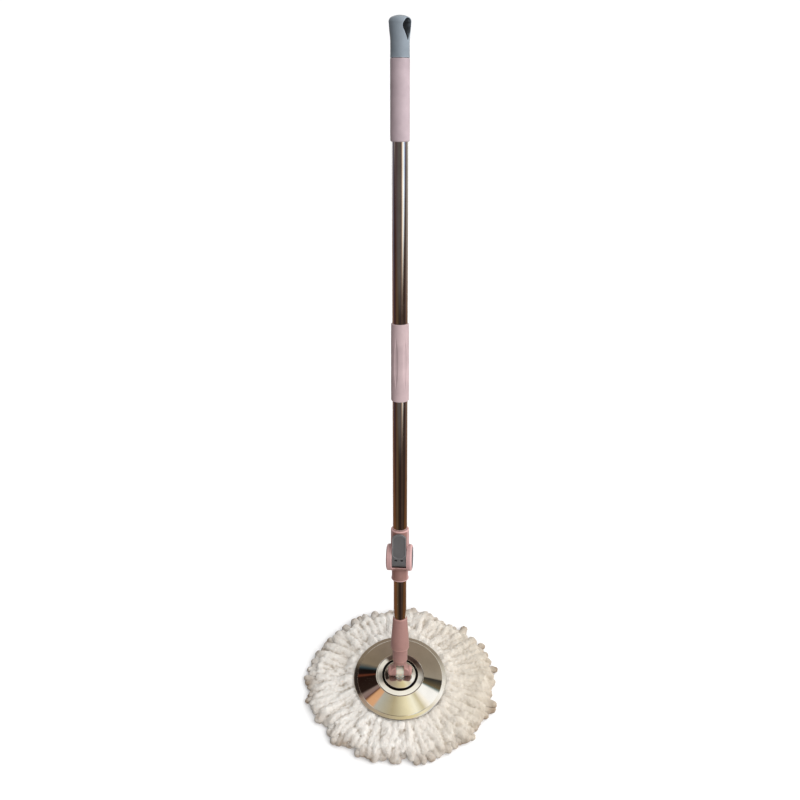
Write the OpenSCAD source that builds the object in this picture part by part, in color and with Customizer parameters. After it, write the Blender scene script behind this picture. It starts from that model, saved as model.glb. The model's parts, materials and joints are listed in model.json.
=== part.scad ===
// Spin mop with a telescopic, twist-driven pole, standing on its round fringe head.
// Row frame: origin on the floor under the head's centre, +Z up, the pole leans towards +Y,
// and the side with the lock lever faces -Y.
// Pole frame (inside on_pole): origin at the fork pin, +Z along the pole, -Y is the lever side.

/* [Pose] */
// Lean of the pole away from upright, in degrees
lean = 24; // [10:1:40]
// Turn of the lock housing about the pole, in degrees
lock_turn = -4; // [-20:1:20]
// Azimuth of the hanging hole, from the lever side towards +X, in degrees
hang_turn = 54; // [30:1:65]

/* [Tubes] */
// Outside diameter of the handle tube and the middle tube
outer_d = 23.2; // [22.8:0.1:23.4]
// Outside diameter of the lower tube
inner_d = 21.2; // [20.6:0.1:21.3]
// Wall thickness of all three tubes
tube_wall = 0.5; // [0.4:0.05:0.6]
// Height of the lock housing's lower rim above the fork pin
lock_base = 178; // [178:1:200]
// Height of the hanging cap's top above the fork pin
pole_len = 1033; // [1000:1:1120]
// Length of the middle tube
mid_tube_len = 354; // [340:1:380]
// Length of the lower tube
lower_tube_len = 500; // [480:1:510]

/* [Spin drive] */
// Travel of the pole over the lower tube
stroke = 200; // [120:5:210]
// Length of strip that makes one full turn
lead = 100; // [80:5:140]
// Width of the twisted strip
strip_w = 9; // [7:0.5:10]
// Thickness of the twisted strip
strip_t = 1.6; // [1.2:0.1:2]

/* [Grips] */
// Length of the top grip
top_grip_len = 110; // [90:1:125]
// Length of the middle grip
mid_grip_len = 121; // [100:1:130]
// Outside diameter of both grips at their thickest
grip_d = 27.8; // [27:0.1:30]
// Largest diameter of the hanging cap
cap_d = 31; // [30:0.5:34]
// Width of the hanging hole
hang_w = 19; // [12:0.5:19.5]

/* [Head] */
// Diameter of the pressed steel plate
plate_d = 160; // [156:0.5:162]
// Height of the fork pin above the floor
pin_h = 47; // [46.5:0.1:50]
// Half width of the fringe along X
fringe_rx = 165; // [140:1:180]
// Half width of the fringe along Y
fringe_ry = 147; // [130:1:180]
// Thickness of the sheet steel
sheet_t = 0.8; // [0.6:0.1:1]
// Number of sewing teeth round the refill ring
teeth = 44; // [24:2:48]

/* [Hidden] */
$fn = 64;
eps = 0.01;
run_gap = 0.06;          // radial clearance of a running fit

outer_r = outer_d / 2;
outer_bore = outer_r - tube_wall;
inner_r = inner_d / 2;
inner_bore = inner_r - tube_wall;

// stations along the pole, measured from the fork pin
neck_top = 43;
cone_wide = 50;
cone_top = 105;
socket_floor = 60;
lower_tube_top = socket_floor + lower_tube_len;
lock_top = lock_base + 91;
mid_tube_base = lock_base + 58;
mid_tube_top = mid_tube_base + mid_tube_len;
handle_base = mid_tube_top + 4;
cap_base = pole_len - 54;
top_grip_base = cap_base - top_grip_len;
upper_tube_top = cap_base + 18;
mid_grip_top = mid_tube_top + 18;
mid_grip_base = mid_grip_top - mid_grip_len;
hang_top = pole_len - 4;
hang_tip = pole_len - 33;

// the fork and its link
pin_r = 2.5;
ear_r = 8.8;
ear_x = 20.6;
shoulder_r = 17.1;
slot_x = 6.75;
slot_top = 18;
link_x = 6.3;
link_r = 8;

// the spin drive
nut_base = lower_tube_top - 12;
nut_h = 13;
nut_r = 7.4;
clutch_base = lower_tube_top - 20;
clutch_top = lower_tube_top + 14;
strip_hole_r = 5.6;
strip_gap = 0.35;        // clearance round the strip in the nut and the stop
plug_base = clutch_top + 2;
plug_floor = plug_base + 8;
stop_top = clutch_base - stroke - 2;
stop_h = 10;
stop_r = 8.8;
slice_deg = 8;

// the lock: the drum is the round body between the collars, the cam is the lever's round foot
drum_y = -8;
drum_z = lock_base + 43;
drum_r = 21.5;
drum_x = 20.6;
cover_r = 17.5;
cover_t = 1.6;
cover_sink = 1;
pocket_x = 11.7;
pocket_floor = lock_base + 33;
pivot_y = -22;
pivot_z = lock_base + 41;
cam_r = 7.5;
cam_off = 0.6;
lever_x = 11.2;
lever_top = lock_top - 2.6;
lever_pin_r = 2;
pad_x = 6.5;
pad_gap = 0.3;

// heights in the head, above the floor
plate_r = plate_d / 2;
boss_h = pin_h - 10.8;   // top of the plate's central boss
boss_r = 27;
boss_flat_r = 11.6;      // the boss is flat inside this radius and falls away outside it
boss_drop = 1.5;
crest_h = boss_h - 2.8;
crest_r = 41;
flange_h = crest_h - 7.6;
step_r = 73.2;           // a small step parts the cone from the flat flange
ridge_h = crest_h + 0.8;  // a low ridge runs round between the groove and the crest
groove_h = crest_h - 1.9;
ring_base = 9.6;
ring_t = 3;
ring_r = plate_r - 2;
stem_r = link_x;
stem_end = boss_h - 14;
boss_bore = stem_r + run_gap;
screw_r = 2;

function arc(c, r, a0, a1, n) = [for (i = [0 : n]) c + r * [cos(a0 + (a1 - a0) * i / n), sin(a0 + (a1 - a0) * i / n)]];
function lerp(a, b, t) = a + (b - a) * t;

// ---- placing ----

module on_pole() {
    translate([0, 0, pin_h]) rotate([-lean, 0, 0]) children();
}

module in_lock() {
    on_pole() rotate([0, 0, lock_turn]) children();
}

// a tube or ring about the pole, from z0 to z1
module ring(r_in, r_out, z0, z1) {
    difference() {
        translate([0, 0, z0]) cylinder(r = r_out, h = z1 - z0);
        translate([0, 0, z0 - 1]) cylinder(r = r_in, h = z1 - z0 + 2);
    }
}

// a round bar along X, centred at x = 0
module bar_x(r, half_x, y = 0, z = 0) {
    translate([-half_x, y, z]) rotate([0, 90, 0]) cylinder(r = r, h = 2 * half_x);
}

// a round body about X with rounded rims
module drum(r, half_x, rim) {
    rotate([0, 90, 0]) rotate_extrude() polygon(concat(
        [[0, -half_x]],
        arc([r - rim, -half_x + rim], rim, -90, 0, 6),
        arc([r - rim, half_x - rim], rim, 0, 90, 6),
        [[0, half_x]]));
}

module box(x0, x1, y0, y1, z0, z1) {
    translate([x0, y0, z0]) cube([x1 - x0, y1 - y0, z1 - z0]);
}

// ---- refill: the fringe and the ring it is sewn to ----

// profile of the fringe: [share of the way from the ring to the tips, height]
fringe_profile = [
    [0, 24.5], [0.18, 26], [0.42, 25], [0.66, 22.5], [0.84, 18.5], [0.95, 13], [1, 7], [0.985, 2], [0.96, 0]
];
fringe_steps = 72;
fringe_in = plate_r + 0.6;

function fringe_edge(a) = fringe_rx * fringe_ry / sqrt(pow(fringe_ry * cos(a), 2) + pow(fringe_rx * sin(a), 2));
function fringe_ring(share, z) = [
    for (i = [0 : fringe_steps - 1])
        let (a = i * 360 / fringe_steps, r = lerp(fringe_in, fringe_edge(a), share))
        [r * cos(a), r * sin(a), z]
];

// plain soft solid: a dished disc of strands, open on top where the ring sits
module fringe() {
    n = fringe_steps;
    under_ring = ring_base - 0.3;
    pts = concat(
        fringe_ring(0, under_ring),
        [for (p = fringe_profile) each fringe_ring(p[0], p[1])],
        [[0, 0, under_ring], [0, 0, 0]]);
    rings = len(fringe_profile) + 1;
    sides = [for (k = [0 : rings - 2], i = [0 : n - 1])
        let (j = (i + 1) % n)
        each [[k * n + i, (k + 1) * n + i, (k + 1) * n + j], [k * n + i, (k + 1) * n + j, k * n + j]]];
    well = [for (i = [0 : n - 1]) [rings * n, i, (i + 1) % n]];
    base = [for (i = [0 : n - 1]) [rings * n + 1, (rings - 1) * n + (i + 1) % n, (rings - 1) * n + i]];
    color("ivory") polyhedron(points = pts, faces = concat(sides, well, base));
}

// plastic ring with a snap collar and the teeth that the strands are sewn between
module refill_ring() {
    collar_r = 64;
    tooth_w = 4.5;
    color("dimgray") union() {
        ring(28, ring_r, ring_base, ring_base + ring_t);
        ring(collar_r - 2.5, collar_r, ring_base + ring_t - eps, ring_base + ring_t + 5.5);
        for (i = [0 : teeth - 1])
            rotate([0, 0, i * 360 / teeth])
                box(ring_r - 4, ring_r + 1.2, -tooth_w / 2, tooth_w / 2, ring_base + 0.5, flange_h - 5.2);
    }
}

// ---- plate: pressed steel over a plastic base ----

// upper side of the steel from the centre hole to the rolled edge: [radius, height]
plate_top = concat(
    [[7, boss_h], [boss_flat_r, boss_h]],
    arc([boss_r - 1.2, boss_h - boss_drop - 1.2], 1.2, 84, 15, 4),
    arc([29, groove_h + 1.4], 1.4, 190, 350, 8),
    arc([31.3, ridge_h - 0.6], 0.6, 170, 83, 4),
    [[39.3, ridge_h - 1.05], [39.9, ridge_h - 1.4]],
    arc([crest_r, crest_h - 1.2], 1.2, 130, 79, 5),
    [[step_r - 0.5, flange_h + 1.05], [step_r, flange_h + 0.75]],
    arc([plate_r - 1.4, flange_h - 0.9], 1.4, 84, 0, 5),
    [[plate_r, flange_h - 3.4]]);

// the same line seen from below, one sheet thickness away
plate_under = concat(
    [[plate_r - sheet_t, flange_h - 3.4]],
    arc([plate_r - 1.4, flange_h - 0.9], 1.4 - sheet_t, 0, 84, 5),
    [[step_r, flange_h + 0.75 - sheet_t], [step_r - 0.5, flange_h + 1.05 - sheet_t]],
    arc([crest_r, crest_h - 1.2], 1.2 - sheet_t, 79, 112, 4),
    [[39.6, ridge_h - 2.2], [31.5, ridge_h - 0.9]],
    arc([29, groove_h + 1.4], 1.4 + sheet_t, 350, 190, 8),
    arc([boss_r - 1.2, boss_h - boss_drop - 1.2], 1.2 - sheet_t / 2, 15, 84, 4),
    [[boss_flat_r, boss_h - sheet_t], [7, boss_h - sheet_t]]);

module steel_plate() {
    color("gainsboro") rotate_extrude() polygon(concat(plate_top, plate_under));
}

// plastic carrier: a hub for the swivel, a web, ribs and the snap rim that holds the refill
module plate_base() {
    web_h = flange_h - 1;
    web_t = 2.2;
    rim_r = 64.5;
    color("dimgray") difference() {
        union() {
            cylinder_at(boss_flat_r - 0.1, stem_end + 0.4, boss_h - sheet_t);
            ring(boss_bore, plate_r - 2.4, web_h - web_t, web_h);
            ring(rim_r, rim_r + 2.2, ring_base + ring_t + 0.4, web_h - web_t + eps);
            ring(plate_r - 5, plate_r - 2.4, web_h - web_t - eps, flange_h - 0.9);
            for (i = [0 : 7])
                rotate([0, 0, i * 45 + 22.5])
                    box(12, rim_r + 1, -1, 1, web_h - web_t - 3, web_h - web_t + eps);
        }
        cylinder_at(boss_bore, 0, boss_h + 1);
    }
}

module cylinder_at(r, z0, z1) {
    translate([0, 0, z0]) cylinder(r = r, h = z1 - z0);
}

module thrust_washer() {
    color("silver") ring(boss_bore + 0.2, 11.5, boss_h, boss_h + 0.7);
}

// ---- swivel: the nylon link that turns in the plate and carries the fork pin ----

module swivel_link() {
    collar_base = boss_h + 0.8;
    color("white") difference() {
        union() {
            cylinder_at(stem_r, stem_end, collar_base + 1);
            cylinder_at(9, collar_base, collar_base + 0.8);
            box(-link_x, link_x, -link_x, link_x, collar_base, pin_h);
            bar_x(link_r, link_x, 0, pin_h);
        }
        bar_x(pin_r + run_gap, link_x + 1, 0, pin_h);
        cylinder_at(screw_r, stem_end - 1, stem_end + 11);
    }
}

module retaining_washer() {
    color("silver") ring(screw_r, 10, stem_end - 1.2, stem_end - eps);
}

module swivel_screw() {
    head_top = stem_end - 1.2;
    color("silver") difference() {
        union() {
            cylinder_at(screw_r, head_top - 1, stem_end + 10);
            cylinder_at(3.8, head_top - 2.6, head_top);
        }
        for (a = [0, 90])
            rotate([0, 0, a]) box(-2.2, 2.2, -0.45, 0.45, head_top - 3, head_top - 1.2);
    }
}

// ---- shaft: the fork, the lower tube and the clutch on its top end ----

module fork_socket() {
    color("rosybrown") on_pole() difference() {
        union() {
            // cone, its rounded shoulder and the neck
            rotate_extrude() polygon(concat(
                [[0, slot_top - 2], [10.4, slot_top - 2], [12.7, slot_top + 6], [12.7, neck_top]],
                [[13.4, neck_top]],
                arc([12.9, cone_wide - 2], 2.5, -60, 0, 4),
                [[15.4, cone_wide + 6], [13.6, 80], [11.9, cone_top - 1]],
                arc([11.2, cone_top - 0.7], 0.7, 0, 90, 3),
                [[0, cone_top]]));
            // knuckles about the pin
            drum(ear_r, ear_x, 5);
            // shoulders that run from the neck into the knuckles
            intersection() {
                rotate_extrude() polygon(concat(
                    [[0, 0], [shoulder_r, 0]],
                    arc([shoulder_r - 8, 2], 8, 0, 75, 8),
                    [[10.2, slot_top + 2], [0, slot_top + 2]]));
                box(-ear_x, ear_x, -ear_r + 0.3, ear_r - 0.3, -1, slot_top + 3);
            }
        }
        // slot for the link, with a round end
        box(-slot_x, slot_x, -20, 20, -ear_r - 1, slot_top - 3);
        translate([0, 0, slot_top - 12.5]) bar_x(12.5, slot_x);
        bar_x(pin_r, ear_x + 1);
        cylinder_at(inner_r, socket_floor, cone_top + 1);
        socket_rivet_hole();
    }
}

rivet_z = 82;
rivet_r = 2;

module socket_rivet_hole() {
    translate([0, 0, rivet_z]) rotate([-90, 0, 0]) cylinder(r = rivet_r, h = 20);
}

module fork_pin() {
    color("silver") on_pole() union() {
        bar_x(pin_r, ear_x + 0.6);
        for (side = [-1, 1])
            translate([side * (ear_x + 0.6), 0, 0]) bar_x(3.6, 0.6);
    }
}

// blind rivet at the back of the socket
module socket_rivet() {
    color("silver") on_pole() translate([0, 0, rivet_z]) rotate([-90, 0, 0]) union() {
        translate([0, 0, inner_bore - 2]) cylinder(r = rivet_r, h = 14.2 - inner_bore + 2);
        translate([0, 0, 13.7]) cylinder(r1 = 3.4, r2 = 2.4, h = 1.1);
    }
}

module lower_tube() {
    color("silver") on_pole() difference() {
        ring(inner_bore, inner_r, socket_floor, lower_tube_top);
        socket_rivet_hole();
    }
}

// plug in the tube's top end: its flange runs in the middle tube and its cavity holds the nut
module clutch_housing() {
    color("white") on_pole() difference() {
        union() {
            cylinder_at(inner_bore, clutch_base, lower_tube_top);
            cylinder_at(outer_bore - run_gap, lower_tube_top, clutch_top);
        }
        cylinder_at(nut_r + 0.1, nut_base, clutch_top + 1);
        cylinder_at(strip_hole_r, clutch_base - 1, nut_base + 1);
    }
}

// flat bar of the given section that winds up the pole with the drive's lead
module twisted_bar(w, t, z0, z1) {
    turn = 360 * (z1 - z0) / lead;
    translate([0, 0, z0]) rotate([0, 0, 360 * z0 / lead])
        linear_extrude(height = z1 - z0, twist = -turn, slices = ceil(turn / slice_deg), segments = 4)
            square([w, t], center = true);
}

module drive_nut() {
    color("goldenrod") on_pole() difference() {
        cylinder_at(nut_r, nut_base + 0.1, nut_base + nut_h);
        twisted_bar(strip_w + 2 * strip_gap, strip_t + 2 * strip_gap, nut_base - 1, nut_base + nut_h + 1);
    }
}

module clutch_cap() {
    color("dimgray") on_pole() ring(strip_hole_r, nut_r + 0.1, nut_base + nut_h + 0.2, clutch_top);
}

// ---- guide: the bush that slides on the lower tube inside the lock housing ----

bush_r = 12.2;
bush_base = lock_base + 3.3;
bush_top = lock_base + 27.7;

module guide_bush() {
    color("white") on_pole() ring(inner_r + run_gap, bush_r, bush_base, bush_top);
}

// ---- pole: middle tube, handle tube, drive strip, grips and cap ----

module mid_tube() {
    color("silver") on_pole() difference() {
        ring(outer_bore, outer_r, mid_tube_base, mid_tube_top);
        bar_x(anchor_r, outer_r + 1, 0, anchor_z);
    }
}

anchor_r = 1.5;
anchor_z = plug_base + 4;
strip_end = plug_base - 0.5;   // the twist stops just under the plug
strip_end_turn = 360 * strip_end / lead;

// plug in the middle tube: it holds the strip from below and takes the handle's stud from above
module anchor_plug() {
    color("white") on_pole() difference() {
        union() {
            cylinder_at(outer_bore, plug_base, mid_tube_top);
            cylinder_at(outer_r, mid_tube_top, handle_base);
        }
        cylinder_at(7, plug_floor + 1.5, handle_base + 1);
        rotate([0, 0, strip_end_turn])
            box(-strip_w / 2 - 0.1, strip_w / 2 + 0.1, -strip_t / 2 - 0.1, strip_t / 2 + 0.1,
                plug_base - 1, plug_floor);
        bar_x(anchor_r, outer_r + 1, 0, anchor_z);
    }
}

module anchor_pin() {
    color("silver") on_pole() bar_x(anchor_r, outer_r - 0.15, 0, anchor_z);
}

// twisted strip with a flat tab at the top, pinned in the anchor plug
module drive_strip() {
    strip_base = stop_top - stop_h + 1;
    tab_w = strip_w - 1;
    tab_t = strip_t + 0.15;
    color("darkgray") on_pole() difference() {
        union() {
            twisted_bar(strip_w, strip_t, strip_base, strip_end);
            rotate([0, 0, strip_end_turn])
                box(-tab_w / 2, tab_w / 2, -tab_t / 2, tab_t / 2, strip_end - 1.5, plug_floor - 0.2);
        }
        bar_x(anchor_r, strip_w, 0, anchor_z);
    }
}

// end stop: it meets the clutch housing when the pole is pulled right out
module strip_stop() {
    color("dimgray") on_pole() difference() {
        cylinder_at(stop_r, stop_top - stop_h, stop_top);
        twisted_bar(strip_w + 2 * strip_gap, strip_t + 2 * strip_gap, stop_top - stop_h + 1, stop_top + 1);
    }
}

// a long shallow flute in the +X side of a grip, pointed at both ends
module flute(mid_z, half_len, half_w, depth) {
    bow_r = (half_len * half_len + half_w * half_w) / (2 * half_w);
    translate([grip_d / 2 - depth, 0, mid_z]) rotate([0, 90, 0])
        linear_extrude(height = 5) intersection_for(side = [-1, 1])
            translate([0, side * (bow_r - half_w)]) circle(r = bow_r, $fn = 256);
}

flutes = 6;
first_flute = -26.5;
flute_depth = 0.9;
flute_half_len = 42;
flute_half_w = 3.6;

module mid_grip() {
    r = grip_d / 2;
    mid_z = (mid_grip_base + mid_grip_top) / 2;
    color("rosybrown") on_pole() difference() {
        rotate_extrude() polygon(concat(
            [[outer_r, mid_grip_base]],
            arc([r - 1.7, mid_grip_base + 1.4], 1.4, -90, 0, 4),
            [[r, mid_z - 20], [r, mid_z + 20]],
            arc([r - 2.1, mid_grip_top - 1.3], 1.3, 0, 90, 4),
            [[outer_r, mid_grip_top]]));
        for (i = [0 : flutes - 1])
            rotate([0, 0, -90 + first_flute + i * 360 / flutes])
                flute(mid_z, flute_half_len, flute_half_w, flute_depth);
    }
}

module upper_tube() {
    color("silver") on_pole() ring(outer_bore, outer_r, handle_base, upper_tube_top);
}

// plug in the handle tube's lower end, with the stud that screws into the anchor plug
module handle_plug() {
    color("white") on_pole() union() {
        cylinder_at(outer_bore, handle_base, handle_base + 30);
        cylinder_at(6.9, plug_floor + 2.5, handle_base + eps);
    }
}

module top_grip() {
    r = grip_d / 2;
    color("rosybrown") on_pole() rotate_extrude() polygon(concat(
        [[outer_r, top_grip_base]],
        arc([r - 2.1, top_grip_base + 2], 2, -90, 0, 5),
        [[r - 0.1, top_grip_base + 20], [r - 0.2, cap_base - 0.5], [outer_r, cap_base - 0.5]]));
}

module hang_cap() {
    r = cap_d / 2;
    neck_r = grip_d / 2 - 0.6;
    hole_r = hang_w / 2;
    hole_z = hang_top - hole_r;
    color("slategray") on_pole() difference() {
        rotate_extrude() polygon(concat(
            [[0, cap_base], [grip_d / 2 - 0.3, cap_base], [neck_r, cap_base + 6], [neck_r, hang_tip + 1]],
            [[neck_r + 0.5, hang_tip + 6], [r - 0.5, pole_len - 16]],
            arc([r - 6.5, pole_len - 8.5], 6.5, 0, 75, 7),
            arc([0, pole_len - 28], 28, 67.5, 90, 4)));
        cylinder_at(outer_r, cap_base - 1, upper_tube_top);
        // drop-shaped hanging hole, point down
        rotate([0, 0, hang_turn]) rotate([90, 0, 0]) translate([0, 0, -30])
            linear_extrude(height = 60) union() {
                translate([0, hole_z]) circle(r = hole_r);
                polygon([
                    [-hole_r * 0.96, hole_z - hole_r * 0.28],
                    [hole_r * 0.96, hole_z - hole_r * 0.28],
                    [0, hang_tip]
                ]);
            }
    }
}

// ---- lock: housing on the middle tube, lever, cam pad and side covers ----

module lock_housing() {
    color("rosybrown") in_lock() difference() {
        union() {
            // upper and lower collars with their rounded rims
            rotate_extrude() polygon(concat(
                arc([13.2, lock_base + 1.2], 1.2, -90, 40, 6),
                [[13.4, lock_base + 6], [13.7, lock_base + 26], [14.9, lock_base + 64]],
                [[14.7, lock_top - 1.2]],
                arc([13.7, lock_top - 1], 1, 0, 90, 4),
                [[0, lock_top], [0, lock_base]]));
            translate([0, drum_y, drum_z]) drum(drum_r, drum_x, 3);
        }
        // seat for the middle tube, clearance for the lower tube, seat for the guide bush
        cylinder_at(outer_r, mid_tube_base, lock_top + 1);
        cylinder_at(inner_r + 0.4, lock_base - 1, mid_tube_base + 1);
        cylinder_at(bush_r + run_gap, bush_base - 0.3, bush_top + 0.3);
        // pocket for the lever, its deeper foot, and the window for the pad
        box(-pocket_x, pocket_x, -50, -15, pocket_floor, lock_top + 10);
        box(-pocket_x, pocket_x, -50, -13.2, pocket_floor, pivot_z + 11);
        box(-pad_x - pad_gap, pad_x + pad_gap, -20, 0, pocket_floor, pivot_z + 8);
        bar_x(lever_pin_r, drum_x + 1, pivot_y, pivot_z);
        for (side = [-1, 1])
            translate([side * (drum_x + 1 - cover_sink), drum_y, drum_z]) bar_x(cover_r + 0.1, 1);
    }
}

// round covers on both cheeks, over the pin's ends
module pivot_caps() {
    color("slategray") in_lock()
        for (side = [-1, 1])
            translate([side * (drum_x - cover_sink + cover_t / 2 + eps), drum_y, drum_z])
                drum(cover_r, cover_t / 2, 0.5);
}

module lever_pin() {
    color("silver") in_lock() bar_x(lever_pin_r, drum_x - cover_sink - 0.1, pivot_y, pivot_z);
}

// side outline of the lever in the plane across the pin: [y, z]
function lever_side() = concat(
    arc([pivot_y + cam_off, pivot_z + cam_off], cam_r, 100, -170, 18),
    [[-19.2, lever_top - 1.6], [-18.4, lever_top], [-15.9, lever_top], [-15.4, lever_top - 2]]);

// thumb rest: a shallow recess with round ends in the lever's sloping front
module thumb_rest() {
    end_r = 11.7;
    half_w = 9.8;
    depth = 0.9;
    low_end = pivot_z + 9 + end_r;
    high_end = lever_top - 2.6 - end_r;
    front_y = pivot_y + cam_off - cam_r + 0.2;
    slope = 11.7;
    intersection() {
        translate([0, front_y + depth, pivot_z]) rotate([-slope, 0, 0]) box(-half_w, half_w, -20, 0, -10, 60);
        union() {
            for (z = [low_end, high_end])
                translate([0, 0, z]) rotate([90, 0, 0]) cylinder(r = end_r, h = 40);
            box(-end_r, end_r, -40, 0, low_end, high_end);
        }
    }
}

module lock_lever() {
    half_turn = 14;
    color("gray") in_lock() difference() {
        intersection() {
            translate([-lever_x, 0, 0]) rotate([90, 0, 90])
                linear_extrude(height = 2 * lever_x) polygon(lever_side());
            // round thumb end, seen from the front
            union() {
                box(-lever_x, lever_x, -40, 0, pivot_z - 12, lever_top - 5);
                translate([0, 0, lever_top - half_turn]) rotate([90, 0, 0]) cylinder(r = half_turn, h = 40);
            }
        }
        bar_x(lever_pin_r + 0.05, lever_x + 1, pivot_y, pivot_z);
        thumb_rest();
        // two small slots in the band under it
        for (side = [-1, 1])
            box(side * 4.9 - 2.4, side * 4.9 + 2.4, -40, -25.2, pivot_z + 4.4, pivot_z + 7.2);
    }
}

// shoe between the cam and the lower tube
module clamp_pad() {
    color("dimgray") in_lock() difference() {
        box(-pad_x, pad_x, pivot_y + cam_off + cam_r + pad_gap, 0, pocket_floor + 0.5, pivot_z + 7.5);
        cylinder_at(inner_r + pad_gap, pocket_floor - 1, pivot_z + 9);
    }
}

fringe();
refill_ring();
steel_plate();
plate_base();
thrust_washer();
swivel_link();
retaining_washer();
swivel_screw();
fork_socket();
fork_pin();
socket_rivet();
lower_tube();
clutch_housing();
drive_nut();
clutch_cap();
guide_bush();
mid_tube();
anchor_plug();
anchor_pin();
drive_strip();
strip_stop();
mid_grip();
upper_tube();
handle_plug();
top_grip();
hang_cap();
lock_housing();
pivot_caps();
lever_pin();
lock_lever();
clamp_pad();
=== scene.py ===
"""Spin mop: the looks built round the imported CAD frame, in metres and in the CAD's own frame."""

import json
import math

import bmesh
import bpy
import numpy as np
from mathutils import Matrix, Vector, bvhtree, noise


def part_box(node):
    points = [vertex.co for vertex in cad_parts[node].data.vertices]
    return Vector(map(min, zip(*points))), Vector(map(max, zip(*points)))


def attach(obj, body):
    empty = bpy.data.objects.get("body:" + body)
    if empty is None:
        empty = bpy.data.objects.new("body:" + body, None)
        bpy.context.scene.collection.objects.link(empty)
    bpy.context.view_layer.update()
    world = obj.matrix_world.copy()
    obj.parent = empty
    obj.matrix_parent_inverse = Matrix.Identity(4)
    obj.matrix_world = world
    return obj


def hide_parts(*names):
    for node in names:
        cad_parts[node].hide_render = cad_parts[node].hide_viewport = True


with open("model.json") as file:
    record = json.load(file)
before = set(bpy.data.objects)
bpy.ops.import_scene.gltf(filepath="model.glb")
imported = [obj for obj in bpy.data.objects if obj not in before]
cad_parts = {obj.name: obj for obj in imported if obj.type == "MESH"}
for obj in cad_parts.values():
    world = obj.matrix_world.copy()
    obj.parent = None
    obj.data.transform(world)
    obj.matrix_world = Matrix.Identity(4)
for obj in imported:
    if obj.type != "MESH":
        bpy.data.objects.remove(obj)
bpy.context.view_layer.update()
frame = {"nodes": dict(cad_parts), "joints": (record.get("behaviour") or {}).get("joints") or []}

# ---- where things are ----

JOINTS = {joint["name"]: joint for joint in frame["joints"]}
PIN = Vector(JOINTS["handle_tilt"]["pos_m"])
POLE = Vector(JOINTS["pole_slide"]["axis"]).normalized()
SIDE = Vector((1, 0, 0))
BACK = POLE.cross(SIDE)
MM = 0.001


def pole_frame(turn=0.0):
    """Matrix of the pole frame: Z along the pole, -Y to the lever side, turned about the pole."""
    axes = Matrix((SIDE, BACK, POLE)).transposed().to_4x4()
    axes.translation = PIN
    return axes @ Matrix.Rotation(turn, 4, "Z")


def in_pole_frame(node):
    """Vertices of a CAD node in the pole frame."""
    mesh = frame["nodes"][node].data
    points = np.array([v.co for v in mesh.vertices], float) - np.array(PIN)
    return points @ np.array((SIDE, BACK, POLE)).T


def stations(node):
    """Lowest and highest place of a CAD node along the pole, above the fork pin."""
    heights = in_pole_frame(node)[:, 2]
    return heights.min(), heights.max()


def girth(node):
    """Smallest and largest radius of a CAD node about the pole."""
    points = in_pole_frame(node)
    radii = np.hypot(points[:, 0], points[:, 1])
    return radii.min(), radii.max()


# ---- camera ----

# how far the camera stands in front of the fork pin and above it, its tilt below level, and its lens in mm
CAMERA_BACK = 0.819
CAMERA_UP = 1.377
CAMERA_PITCH = math.radians(42.5)
CAMERA_LENS = 40.4


def add_camera():
    """A camera in front of the mop and above it, looking down along its middle plane."""
    data = bpy.data.cameras.new("camera")
    data.sensor_width = 36
    data.lens = CAMERA_LENS
    camera = bpy.data.objects.new("camera", data)
    camera.location = PIN + Vector((0, -CAMERA_BACK, CAMERA_UP))
    camera.rotation_euler = (math.pi / 2 - CAMERA_PITCH, 0, 0)
    bpy.context.scene.collection.objects.link(camera)
    bpy.context.scene.camera = camera


# ---- node helpers ----


def srgb(code):
    """Linear colour of a six-digit sRGB code."""
    channels = [int(code[i:i + 2], 16) / 255 for i in (0, 2, 4)]
    linear = [c / 12.92 if c <= 0.04045 else ((c + 0.055) / 1.055) ** 2.4 for c in channels]
    return (*linear, 1)


def socket_value(tree, socket, value):
    """Sets a socket's own value, or links another node's output to it."""
    if isinstance(value, bpy.types.NodeSocket):
        tree.links.new(value, socket)
    else:
        socket.default_value = value


def add_node(tree, kind, inputs=None, **settings):
    """A shader node with its settings and its input sockets filled in."""
    node = tree.nodes.new(kind)
    for name, value in settings.items():
        setattr(node, name, value)
    for name, value in (inputs or {}).items():
        socket_value(tree, node.inputs[name], value)
    return node


def maths(tree, operation, first, second=0.0):
    """Output of one sum on plain numbers."""
    return add_node(tree, "ShaderNodeMath", {0: first, 1: second}, operation=operation).outputs[0]


def dot(tree, vector, direction):
    """How far a vector reaches along a direction."""
    node = add_node(tree, "ShaderNodeVectorMath", {0: vector, 1: direction}, operation="DOT_PRODUCT")
    return node.outputs["Value"]


def ramp(tree, factor, stops):
    """Colour ramp with stops of (place, colour)."""
    node = add_node(tree, "ShaderNodeValToRGB", {"Fac": factor})
    elements = node.color_ramp.elements
    for _ in range(len(stops) - 2):
        elements.new(0.5)
    for element, (place, colour) in zip(elements, stops):
        element.position = place
        element.color = colour
    return node.outputs["Color"]


def grey_ramp(tree, factor, low, high, dark=0.0, light=1.0):
    """Straight grey ramp from dark at low to light at high."""
    return ramp(tree, factor, [(low, (dark, dark, dark, 1)), (high, (light, light, light, 1))])


def smooth_step(tree, value, low, high):
    """Rises smoothly from 0 at low to 1 at high; low may be the larger."""
    node = add_node(tree, "ShaderNodeMapRange", {"Value": value, "From Min": low, "From Max": high},
                    interpolation_type="SMOOTHSTEP")
    return node.outputs["Result"]


def blend_colours(tree, factor, first, second):
    """The first colour at factor 0, the second at factor 1."""
    node = add_node(tree, "ShaderNodeMix", data_type="RGBA")
    for index, value in ((0, factor), (6, first), (7, second)):
        socket_value(tree, node.inputs[index], value)
    return node.outputs[2]


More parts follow.
